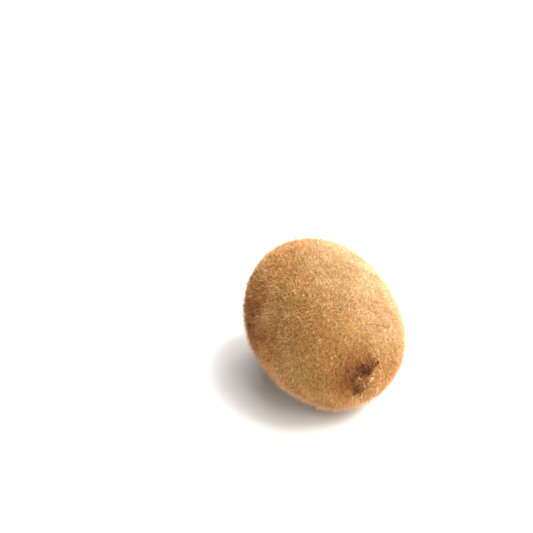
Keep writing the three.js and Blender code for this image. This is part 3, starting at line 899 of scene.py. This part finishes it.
class KIWI_OT_skin(bpy.types.Operator):
    """Make the skin of the berry, a finer copy of its solid with faint lumps"""

    bl_idname = "kiwi.skin"
    bl_label = "Skin"

    def execute(self, context):
        made = bmesh.new()
        made.from_mesh(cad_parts["fruit"].data)
        bmesh.ops.remove_doubles(made, verts=made.verts, dist=0.001 * MM)
        mesh = bpy.data.meshes.new("skin")
        made.to_mesh(mesh)
        made.free()
        skin = modified(mesh, "SUBSURF", levels=SKIN_LEVELS, render_levels=SKIN_LEVELS)
        places = vertex_places(skin)
        normals = np.empty(places.size, np.float32)
        skin.vertex_normals.foreach_get("vector", normals)
        lumps = [noise.noise(p / (2.5 * MM)) + 0.5 * noise.noise(p / (0.9 * MM)) for p in map(Vector, places)]
        lumps = np.where(places[:, 2] > FLAT_HEIGHT * MM, lumps, 0) * LUMP_HEIGHT * MM
        places = places + normals.reshape(-1, 3) * lumps[:, None]
        skin.vertices.foreach_set("co", places.astype(np.float32).ravel())
        mark_skin(skin, context.scene.kiwi_ends.ridge_tilt)
        piece = new_piece("skin", skin, skin_material(context.scene.kiwi_coat))
        settle(piece, "skin", "fruit")
        return {"FINISHED"}


class KIWI_OT_hairs(bpy.types.Operator):
    """Grow the coat of hairs on the skin, in layers of short and long hairs"""

    bl_idname = "kiwi.hairs"
    bl_label = "Hairs"

    def execute(self, context):
        coat = context.scene.kiwi_coat
        material = hair_material(coat)
        tree = hair_tree()
        # Radius as a share of the length, and steps from root to tip.
        straight, bent = (0.034, 1), (0.027, 2)
        # What a layer grows on, its length, hairs per square millimetre, strand, range of lean and tone.
        short = ("skin", coat.short_length, coat.short_density, straight, (0.4, 1.15), 0.56)
        long = ("skin", coat.long_length, coat.long_density, bent, (0.05, 0.8), 0.75)
        layers = [(f"short_hairs_{i + 1}", *short) for i in range(coat.short_layers)]
        layers += [(f"long_hairs_{i + 1}", *long) for i in range(coat.long_layers)]
        layers += [("spike_hairs", "skin", coat.spike_length, coat.spike_density, bent, (0.0, 0.6), 0.63)]
        layers += [("tuft_hairs", "style_crust", 1.2 * MM, 8, bent, (0.1, 1.2), 0.7)]
        layers += [("sepal_hairs", "dried_sepals", 0.7 * MM, 2, bent, (0.2, 1.2), 0.6)]
        for seed, (name, host, length, density, (slender, steps), lean, tone) in enumerate(layers, 1):
            values = {
                "Density": density / MM**2,
                "Length": length,
                "Slenderness": slender,
                "Steps": steps,
                "Lowest Lean": lean[0],
                "Highest Lean": lean[1],
                "Tone": tone,
                "Seed": seed,
                "Material": material,
            }
            mesh = modified(bpy.data.objects[host].data, "NODES", values, node_group=tree)
            for spare in ("side", "coat", "halo", "worn"):
                if spare in mesh.attributes:
                    mesh.attributes.remove(mesh.attributes[spare])
            settle(new_piece(name, mesh), "skin")
        return {"FINISHED"}


class KIWI_OT_stem_scar(bpy.types.Operator):
    """Make the corky scar of the stalk"""

    bl_idname = "kiwi.stem_scar"
    bl_label = "Stem Scar"

    def execute(self, context):
        ends = context.scene.kiwi_ends
        stops = [(0.1, ends.cork_dark), (0.5, ends.cork_tan), (0.9, ends.cork_pale)]
        cork = worn_material("stem_cork", stops, 0.6, 0.8)
        piece = new_piece("stem_scar_cork", scar_mesh(skin_finder()), cork)
        settle(piece, "cork", "stem_scar")
        return {"FINISHED"}


class KIWI_OT_sepals(bpy.types.Operator):
    """Make the dried sepals round the scar"""

    bl_idname = "kiwi.sepals"
    bl_label = "Sepals"

    def execute(self, context):
        ends = context.scene.kiwi_ends
        stops = [(0.05, ends.sepal_dark), (0.55, ends.sepal_tan), (0.95, ends.cork_pale)]
        papery = worn_material("dried_sepal", stops, 0.8, 0.75)
        piece = new_piece("dried_sepals", sepal_mesh(skin_finder()), papery)
        settle(piece, "dried_sepal", "sepals")
        return {"FINISHED"}


class KIWI_OT_styles(bpy.types.Operator):
    """Make the tuft of dried styles and the crust they stand in"""

    bl_idname = "kiwi.styles"
    bl_label = "Styles"

    def execute(self, context):
        ends = context.scene.kiwi_ends
        above = skin_finder()
        stops = [(0.05, ends.style_dark), (0.45, ends.style_brown), (0.95, ends.style_pale)]
        withered = worn_material("dried_style", stops, 0.5, 0.75)
        crust = new_piece("style_crust", crust_mesh(above, ends.ridge_tilt), withered)
        settle(crust, "dried_style")
        values = {
            "Radius": 0.26 * MM,
            "Tip Radius": 0.5 * MM,
            "Kink": 0.7 * MM,
            "Seed": 3,
            "Material": withered,
        }
        paths = style_paths(above, ends.ridge_tilt)
        threads = new_piece("style_threads", modified(paths, "NODES", values, node_group=thread_tree()))
        settle(threads, "dried_style", "styles")
        return {"FINISHED"}


# A long window on the right, as three soft suns, one behind and a reflector near the camera. Each has its
# strength and its direction to the right, ahead and up, as the camera sees it.
LAMPS = (
    ("window_far", 1.95, (0.5, 0.5, 0.7)),
    ("window_middle", 4.1, (0.6, 0.0, 0.8)),
    ("window_near", 2.15, (0.5, -0.5, 0.7)),
    ("window_behind", 1.4, (0.0, 0.6, 0.8)),
    ("reflector", 1.2, (0.0, -0.9, 0.43)),
)
LAMP_ANGLE = math.radians(40)
ROOM_LIGHT = 0.06
FLOOR_REACH = 4.0


class KIWI_OT_stage(bpy.types.Operator):
    """Make the floor, the soft light and the camera"""

    bl_idname = "kiwi.stage"
    bl_label = "Stage"

    def execute(self, context):
        stage = context.scene.kiwi_stage
        context.scene.view_settings.view_transform = "Standard"
        material, tree = new_material("white_board")
        place = add(tree, "ShaderNodeTexCoord").outputs["Object"]
        cloud = add(tree, NOISE, {"Vector": place, "Scale": 1 / (40 * MM), "Detail": 3.0})
        paint = {"Fac": cloud.outputs["Fac"]}
        paint = add(tree, RAMP, paint, stops=[(0.3, stage.floor_shade), (0.7, stage.floor_white)])
        finish(tree, paint, 0.9)
        mesh = bpy.data.meshes.new("floor")
        corners = [(x * FLOOR_REACH, y * FLOOR_REACH, 0) for x, y in ((-1, -1), (1, -1), (1, 1), (-1, 1))]
        mesh.from_pydata(corners, [], [(0, 1, 2, 3)])
        floor = new_piece("floor", mesh, material)
        floor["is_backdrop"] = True

        azimuth, elevation = stage.azimuth, stage.elevation
        right = Vector((math.cos(azimuth), math.sin(azimuth), 0))
        ahead = Vector((-math.sin(azimuth), math.cos(azimuth), 0))
        back = Vector((0, 0, 1)) * math.sin(elevation) - ahead * math.cos(elevation)
        up = back.cross(right)

        world = bpy.data.worlds.new("white_room")
        context.scene.world = world
        world.use_nodes = True
        world.node_tree.nodes.clear()
        seen = add(world.node_tree, "ShaderNodeLightPath").outputs["Is Camera Ray"]
        strength = {"Factor_Float": seen, "A_Float": ROOM_LIGHT, "B_Float": 1.0}
        strength = add(world.node_tree, MIX, strength, data_type="FLOAT")
        air = add(world.node_tree, "ShaderNodeBackground", {"Color": linear("ffffff"), "Strength": strength})
        add(world.node_tree, "ShaderNodeOutputWorld", {"Surface": air.outputs["Background"]})

        for name, energy, (across, along, high) in LAMPS:
            sun = bpy.data.lights.new(name, "SUN")
            sun.energy = energy
            sun.angle = LAMP_ANGLE
            lamp = new_piece(name, sun)
            shine = right * across + ahead * along + Vector((0, 0, high))
            lamp.rotation_mode = "QUATERNION"
            lamp.rotation_quaternion = (-shine).to_track_quat("-Z", "Y")

        camera_data = bpy.data.cameras.new("camera")
        camera_data.lens = stage.lens
        camera_data.sensor_width = SENSOR_WIDTH
        camera = new_piece("camera", camera_data)
        camera.location = MIDDLE + back * stage.distance
        pixel = stage.distance * SENSOR_WIDTH / stage.lens / PHOTO_SIDE
        half = PHOTO_SIDE / 2
        aim = MIDDLE - right * (stage.fruit_x - half) * pixel + up * (stage.fruit_y - half) * pixel
        camera.rotation_mode = "QUATERNION"
        camera.rotation_quaternion = (aim - camera.location).to_track_quat("-Z", "Y")
        context.scene.camera = camera
        return {"FINISHED"}


class KIWI_PT_panel(bpy.types.Panel):
    """Lists the steps that dress the fruit"""

    bl_idname = "KIWI_PT_panel"
    bl_label = "Kiwi Fruit"
    bl_space_type = "VIEW_3D"
    bl_region_type = "UI"
    bl_category = "Kiwi Fruit"

    def draw(self, context):
        for step in STEPS:
            self.layout.operator(step.bl_idname)
        for settings in (context.scene.kiwi_coat, context.scene.kiwi_ends, context.scene.kiwi_stage):
            box = self.layout.box()
            for name in settings.__annotations__:
                box.prop(settings, name)


STEPS = (KIWI_OT_skin, KIWI_OT_stem_scar, KIWI_OT_sepals, KIWI_OT_styles, KIWI_OT_hairs, KIWI_OT_stage)
CLASSES = (KiwiCoatSettings, KiwiEndSettings, KiwiStageSettings, *STEPS, KIWI_PT_panel)


def register():
    for made in CLASSES:
        bpy.utils.register_class(made)
    bpy.types.Scene.kiwi_coat = PointerProperty(type=KiwiCoatSettings)
    bpy.types.Scene.kiwi_ends = PointerProperty(type=KiwiEndSettings)
    bpy.types.Scene.kiwi_stage = PointerProperty(type=KiwiStageSettings)


def unregister():
    del bpy.types.Scene.kiwi_stage
    del bpy.types.Scene.kiwi_ends
    del bpy.types.Scene.kiwi_coat
    for made in reversed(CLASSES):
        bpy.utils.unregister_class(made)


def main():
    register()
    bpy.ops.kiwi.skin()
    bpy.ops.kiwi.stem_scar()
    bpy.ops.kiwi.sepals()
    bpy.ops.kiwi.styles()
    bpy.ops.kiwi.hairs()
    bpy.ops.kiwi.stage()
    boxes = {"cad": CAD_BOX, "visual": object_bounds()}
    {name: [list(corner) for corner in box] for name, box in boxes.items()}


if __name__ == "__main__":
    main()
